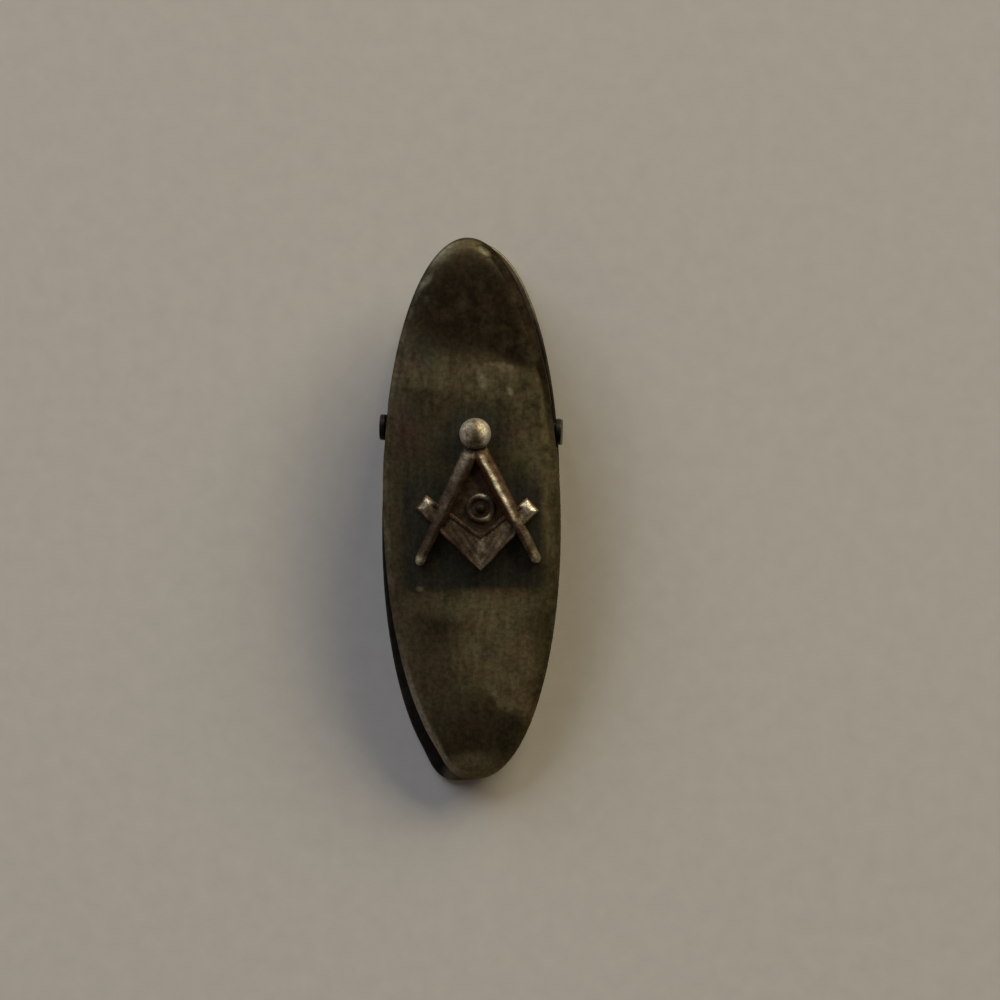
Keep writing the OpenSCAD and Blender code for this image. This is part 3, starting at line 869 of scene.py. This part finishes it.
def arm_end(side, length, lift):
    """A corner of an arm's end: out along the arm's middle by its length, then half its width aside."""
    x, y = rotated(length, lift * ARM_END_W / 2, ARM_RISE)
    return side * x, y + (CORNER_IN + CORNER_OUT) / 2


def square_border(lift, corner):
    """Border of the square: from the left arm's end to the corner and on to the right arm's end."""
    stops = np.array([arm_end(-1, LEFT_ARM, lift), (0, corner), arm_end(1, RIGHT_ARM, lift)])
    return border(stops + np.array([SQUARE_X, 0]), (0, CORNER_SHARE, 1))


def square_top(share, across, width):
    """Top of the square: a raised border round a sunken field, and a solid rounded block at the end of each
    arm. Along the inner border fine marks are cut at even steps, as on a steel rule."""
    from_end = ARM_ALONG * np.minimum(share / CORNER_SHARE, (1 - share) / (1 - CORNER_SHARE))
    inside = np.minimum(np.minimum(across, width - across), from_end)
    end_block = 1 - step(from_end, 0.45, 1.05)
    sunk = step(inside, BORDER_W, BORDER_W + 0.2) * (1 - end_block)
    from_inner = width - across
    marks = (0.5 + 0.5 * np.cos(2 * np.pi * from_end / MARK_STEP)) ** 6
    marks = marks * step(from_inner, 0.08, 0.14) * (1 - step(from_inner, 0.4, 0.5)) * step(from_end, 0.9, 1.2)
    pillow = 0.2 * end_block * (1 - step(inside, 0, 0.52))
    height = SQUARE_H - FIELD_DROP * sunk - 0.03 * marks - pillow + 0.012 * np.sin(9 * across + 3 * from_end)
    corner = 1 - step(np.abs(share - CORNER_SHARE), 0.02, 0.07)
    grime = 0.3 * hill(inside - BORDER_W - 0.1, 0.1) * (1 - end_block)
    # The right arm and the corner are paler as painted highlights, and the rounded edges of the slab are
    # darker as painted shade.
    right = step(share, 0.54, 0.68)
    high = 0.42 - grime - 0.08 * marks + (0.3 + 0.07 * right) * end_block + 0.23 * corner + 0.21 * right
    at_edge = 0.2 + 0.2 * end_block
    return height, high * (at_edge + (1 - at_edge) * step(inside, 0.05, 0.2)), 0.12


square = slab(square_border(-1, CORNER_OUT), square_border(1, CORNER_IN), square_top, 0.12, 260, 40)
print("square:", len(square["points"]), "points")

# %% [markdown]
# The legs are bars with a ridge, like a roof, that thin to a round point below the square. Plain bars would
# catch no light, so a section with a soft ridge is carried along each. That ridge is what makes the
# compasses read from afar.

# %% The compasses' legs
LEG_TOP, FEET_SPAN, FEET_Y = 4.35, 8.1, 3.8
LEG_W, POINT_TOP_W, POINT_W, CROSSING = 1.15, 0.8, 0.7, 6.0
RIDGE_H, FOOT_RIDGE_H, RIDGE_SOFT = 0.95, 0.8, 0.1
LEG_L = np.hypot(FEET_SPAN / 2, LEG_TOP + FEET_Y)
LEG_LEAN = np.arctan(FEET_SPAN / 2 / (LEG_TOP + FEET_Y))


def leg_wear_and_light(side, s, w, thin):
    """How bright and how coppery a leg is, partly wear and partly painted light and shade. The right one has
    a polished ridge and outer slope painted lit, with bare copper beside it that on the inner slope is partly
    painted shade; the left one is paler on its outer slope as painted light. Both have feet painted bright."""
    upper = step(s, 0.5, 1.3) * (1 - thin)
    foot = step(s, LEG_L - 0.7, LEG_L - 0.1)
    if side < 0:
        outer = (0.42 - 0.28 * step(w, -0.15, 0.2)) * (1 - 0.72 * step(s, 1.3, 3.4))
        return 0.22 + 0.72 * outer * upper + 0.5 * foot, 0 * w
    outer = step(w, -0.3, -0.1) * (1 - 0.85 * step(w, 0.0, 0.28))
    outer = outer * (0.6 + 0.4 * step(s, 1.2, 2.8) - 0.25 * step(s, 3.6, 5.2))
    copper = 0.75 * upper * (1 - step(w, -0.4, -0.2) + 0.6 * step(w, 0.2, 0.4))
    return 0.22 + 0.72 * outer * upper + 0.14 * thin + 0.24 * foot, copper


def leg(side):
    """One leg. s runs down it from the neck. Its half width steps down at the crossing and closes as
    sqrt(r^2 - d^2) at its round foot. Across it the height is ridge - slope sqrt(w^2 + soft^2)."""
    r = POINT_W / 2
    tip = LEG_L + r * np.sin(np.linspace(0, np.pi / 2, 12))[1:]
    s = np.concatenate([np.linspace(0, LEG_L, 90), tip])[:, None]
    thin = step(s, CROSSING - 0.1, CROSSING + 0.25)
    half = (1 - thin) * (LEG_W / 2 - 0.05 * s / CROSSING)
    half = half + thin * (POINT_TOP_W / 2 - (POINT_TOP_W / 2 - r) * (s - CROSSING) / (LEG_L - CROSSING))
    closing = np.sqrt(np.clip(1 - (np.clip(s - LEG_L, 0, r) / r) ** 2, 0.0004, 1))
    half = half * closing
    w = half * np.sin(np.linspace(-1, 1, 25)[None] * np.pi / 2)
    ridge = RIDGE_H + (FOOT_RIDGE_H - RIDGE_H) * s / LEG_L
    ridge = ridge - 0.42 * (1 - step(s, 0.35, 1.15)) - 0.3 * (1 - closing)
    height = ridge - 0.62 * (np.hypot(w + 0.3 * side * half, RIDGE_SOFT) - RIDGE_SOFT)
    height = height - 0.1 * (1 - step(half - np.abs(w), 0, 0.1))
    across = np.concatenate([w, w[:, ::-1]], axis=1)
    heights = np.concatenate([np.maximum(height, THINNEST), np.full(w.shape, SEAT)], axis=1)
    x, y = rotated(across, -s, side * LEG_LEAN)
    grid = np.stack([x, y + LEG_TOP, heights], axis=-1)
    high, copper = (np.concatenate([v, 0 * v], axis=1) for v in leg_wear_and_light(side, s, w, thin))
    return skin(grid, high=high, copper=copper)


legs = [leg(1), leg(-1)]
print(f"legs: {LEG_L:.2f} mm long, {np.degrees(2 * LEG_LEAN):.0f} degrees apart")

# %% [markdown]
# The ball at the head sits on a short neck, and a ring with a bead lies in the middle. A sphere could be
# added ready-made, but as turned shapes they all share one function, and their painted light and highlights
# follow their angles.

# %% Ball, neck, ring and bead
BALL_R, BALL_Y, BALL_RISE = 1.1, 4.95, 0.25
NECK_R, WEB_H = 0.75, 0.3
RING_AT, RING_R, RING_WIRE, BEAD_R = (0.27, -0.25), 0.85, 0.23, 0.36
ROUND = 72


def turned(r, z, t, at):
    """Surface of revolution about an upright line at (x, y): points (x + r cos t, y + r sin t, z)."""
    return np.stack([at[0] + r * np.cos(t), at[1] + r * np.sin(t), z + 0 * t], axis=-1)


def upright(profile, at, high, count=ROUND):
    """Skin of a profile, points (radius, height), that is turned about an upright line."""
    return skin(turned(profile[:, :1], profile[:, 1:], around(count), at), high=high, copper=0.0)


def ball(radius, at, rise, high, rows=40):
    """A ball cut off just under the face: points (r sin a, rise + r cos a). Its top is painted darker and its
    sides paler, most on the right, by sin^2 a (0.24 + 0.52 cos^2 t + 0.14 cos t) in the direction t: a
    painted reflection and painted light."""
    a = np.linspace(0.02, np.pi * 0.62, rows)
    profile = np.stack([radius * np.sin(a), rise + radius * np.cos(a)], axis=1)
    sideways = np.cos(around(ROUND))
    wear_and_sheen = 0.51 + np.sin(a[:, None]) ** 2 * (0.24 + 0.52 * sideways ** 2 + 0.14 * sideways)
    return upright(profile, at, high * wear_and_sheen)


def ring(radius, thick, at, rise):
    """A ring of round wire: its section, a circle of radius thick, goes round at radius. Its rows close on
    themselves too, so it has no ends."""
    t, v = around(ROUND)[:, None], around(20)[None]
    r = radius + thick * (1 + 0.06 * np.sin(3 * t)) * np.cos(v)
    z = rise + thick * np.sin(v)
    # The two pale spots round the ring, at t = 1.4 and t = 5.4, are painted highlights.
    high = 0.12 + 0.08 * np.sin(v) + 0.6 * hill(t - 1.4, 0.55) + 0.43 * hill(t - 5.4, 0.5)
    made = skin(turned(r, z, t, at), high=high, copper=0.0)
    here = np.arange(r.size).reshape(r.shape)
    corners = [np.roll(here, shift, (0, 1)) for shift in ((0, 0), (0, -1), (-1, -1), (-1, 0))]
    points, quads = made["points"][:-2], np.stack(corners, axis=-1).reshape(-1, 4)
    quads, fans = turn_outwards(points, quads, np.zeros((0, 3), int))
    fields = {name: value[:-2] for name, value in made["fields"].items()}
    return {"points": points, "quads": quads, "fans": fans, "fields": fields}


neck_profile = rounded_path([(NECK_R, SEAT), (NECK_R, 0.5), (0.02, 0.56)], (0.15,), 8)
neck = upright(neck_profile, (0.0, LEG_TOP - 0.15), 0.28)
head = ball(BALL_R, (0.0, BALL_Y), BALL_RISE, 0.97)
middle_ring = ring(RING_R, RING_WIRE, RING_AT, WEB_H - 0.05)
bead = ball(BEAD_R, RING_AT, WEB_H - 0.05, 0.12, 20)
print("ball, ring and bead of radius", BALL_R, RING_R, BEAD_R, "mm")

# %% [markdown]
# A thin web closes the space between the legs and the square, and is a slab too. Two rivet pegs, hidden
# under the ornament, go through the plate and are closed by flat heads underneath, which hold it on.

# %% Web and rivets, and the finished ornament
PEGS = ((0.0, 3.6), (SQUARE_X, -3.4))
PEG_R, PEG_HEAD_R, PEG_HEAD_T, PEG_GAP, PEG_RISE = 0.4, 0.65, 0.25, 0.08, 0.3


def web():
    """The thin web: a four-sided slab from the neck to the square's corner, reddish towards the right leg."""
    def edge_line(*xs):
        """One border: xs at the neck, at the widest place and at the corner."""
        return border(list(zip(xs, (3.6, -1.2, -2.6))), (0, 0.5, 1))

    def top(share, across, width):
        """Slightly uneven top."""
        uneven = 0.01 * np.sin(7 * across) * np.cos(25 * share)
        return WEB_H + uneven, 0.29 + 0 * across, 0.7 * step(across / width, 0.45, 0.85)

    left, right = edge_line(-0.15, -2.9, SQUARE_X - 0.1), edge_line(0.15, 2.9, SQUARE_X + 0.1)
    return slab(left, right, top, 0.04, 40, 30)


def peg(at):
    """Rivet peg with its flat head under the sheet, as heights from the face at its own place."""
    high = -WALL - PEG_GAP
    low = high - PEG_HEAD_T
    head = [(0.02, low), (PEG_HEAD_R, low), (PEG_HEAD_R, high)]
    shaft = [(PEG_R, high), (PEG_R, PEG_RISE), (0.02, PEG_RISE)]
    return upright(rounded_path(head + shaft, (0.1, 0.05, 0.02, 0.05), 5), at, 0.3, 40)


emblem_parts = [*legs, square, web(), neck, head, middle_ring, bead, *(peg(at) for at in PEGS)]
emblem = piece("cast_emblem", [moved(part, on_emblem) for part in emblem_parts], emblem_metal)
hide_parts("emblem")
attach(emblem, "front")

# %% [markdown]
# ## The table and the light
#
# The clip lies on a pale warm-grey card. A flat sheet with a little noise is enough for it.

# %% Table top
FLOOR_HALF_M, FLOOR_Z_M = 0.6, -0.00001


def pale_card():
    """Plain card with a very fine grain."""
    material, tree = new_material("pale_card")
    fibre = noise(tree, 700, 6, 0.6)
    colour = ramp(tree, fibre, [(0.3, (0.6, 0.568, 0.515)), (0.7, (0.64, 0.607, 0.55))])
    coat(tree, colour, 0.0, 0.9, fibre, 0.15, 0.00005)
    return material


floor_mesh = bpy.data.meshes.new("table_top")
floor_signs = ((-1, -1), (1, -1), (1, 1), (-1, 1))
floor_corners = [(FLOOR_HALF_M * x, FLOOR_HALF_M * y, FLOOR_Z_M) for x, y in floor_signs]
floor_mesh.from_pydata(floor_corners, [], [(0, 1, 2, 3)])
floor_mesh.materials.append(pale_card())
floor = put("table_top", floor_mesh)

# %% [markdown]
# A broad warm light stands to the upper right and a weaker cool one to the upper left, so the left shadow is
# bluish and the right one warm, and they meet below. A faint third light picks out the left edge. All three
# stand low: a light overhead would make the domed face bright.

# %% Lights
def soft_light(name, azimuth, elevation, width, height, power, colour, away=1.6):
    """Soft light of width x height metres that faces the clip. azimuth is from +X towards +Y, in degrees."""
    data = bpy.data.lights.new(name, "AREA")
    data.shape = "RECTANGLE"
    data.size, data.size_y = width, height
    data.energy = power
    data.color = colour
    made = put(name, data)
    a, e = np.radians([azimuth, elevation])
    towards = Vector((np.cos(a) * np.cos(e), np.sin(a) * np.cos(e), np.sin(e)))
    made.location = towards * away
    made.rotation_euler = towards.to_track_quat("Z", "Y").to_euler()
    print("light", name, "with", power, "watts")


soft_light("warm_key", 53, 22, 1.3, 0.55, 21.8, (1.0, 0.885, 0.64))
soft_light("cool_fill", 124, 28, 1.2, 0.9, 13.6, (0.77, 0.85, 1.0))
soft_light("low_glow", 192, 30, 1.4, 0.9, 1.4, (1.0, 0.84, 0.7))
world = bpy.data.worlds.new("room")
bpy.context.scene.world = world
world.use_nodes = True
sky = world.node_tree.nodes["Background"]
sky.inputs["Color"].default_value = (1.0, 0.82, 0.68, 1)
sky.inputs["Strength"].default_value = 0.05
bpy.context.scene.view_settings.view_transform = "Standard"
